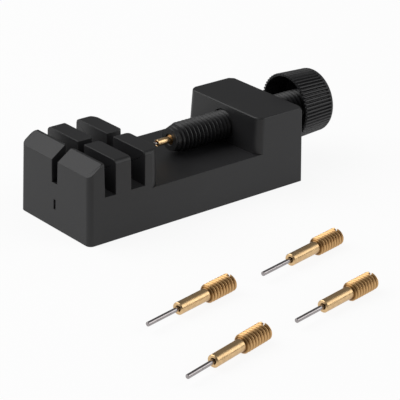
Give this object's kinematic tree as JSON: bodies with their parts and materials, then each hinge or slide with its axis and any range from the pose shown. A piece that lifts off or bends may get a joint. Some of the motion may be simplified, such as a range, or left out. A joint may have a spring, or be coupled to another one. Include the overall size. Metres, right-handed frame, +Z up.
{
  "type": "watch link remover",
  "caption": "Black moulded block with a slotted comb at one end and a feed screw with a ribbed knob at the other, for pushing pins out of a watch bracelet, with loose spare tips.",
  "frame": {"origin": "centre of the block's underside, which rests on the bench", "axes": "+X along the screw, from the comb towards the knob; +Y across the block, away from the spare tips; +Z up"},
  "size_m": [0.0963, 0.0854, 0.0212],
  "materials": {
    "black_plastic": "fine satin moulded surface",
    "screw_plastic": "satin moulded surface, a little glossier than the block",
    "brass": "turned, bright",
    "steel": "drawn wire, bright"
  },
  "bodies": {
    "block": {"comb_block": "black_plastic"},
    "pin": {"fitted_tip_pin": "steel"},
    "screw": {"feed_screw": "screw_plastic", "fitted_tip_holder": "brass"},
    "spare_a": {"spare_tip_holder_a": "brass", "spare_tip_pin_a": "steel"},
    "spare_b": {"spare_tip_holder_b": "brass", "spare_tip_pin_b": "steel"},
    "spare_c": {"spare_tip_holder_c": "brass", "spare_tip_pin_c": "steel"},
    "spare_d": {"spare_tip_holder_d": "brass", "spare_tip_pin_d": "steel"}
  },
  "joints": [
    {"name": "screw_advance", "type": "slide", "parent": "block", "child": "pin", "axis": [-1, 0, 0], "range_m": [-0.012, 0.005]},
    {"name": "screw_turn", "type": "hinge", "parent": "pin", "child": "screw", "pos_m": [0, 0, 0.01317], "axis": [-1, 0, 0], "range_deg": [-3928, 1637]},
    {"name": "spare_a_lift", "type": "slide", "parent": "block", "child": "spare_a", "axis": [0, 0, 1], "range_m": [0, 0.03]},
    {"name": "spare_b_lift", "type": "slide", "parent": "block", "child": "spare_b", "axis": [0, 0, 1], "range_m": [0, 0.03]},
    {"name": "spare_c_lift", "type": "slide", "parent": "block", "child": "spare_c", "axis": [0, 0, 1], "range_m": [0, 0.03]},
    {"name": "spare_d_lift", "type": "slide", "parent": "block", "child": "spare_d", "axis": [0, 0, 1], "range_m": [0, 0.03]}
  ],
  "couplings": [
    {"joint": "screw_turn", "follows": "screw_advance", "rad_per_m": 5712}
  ]
}
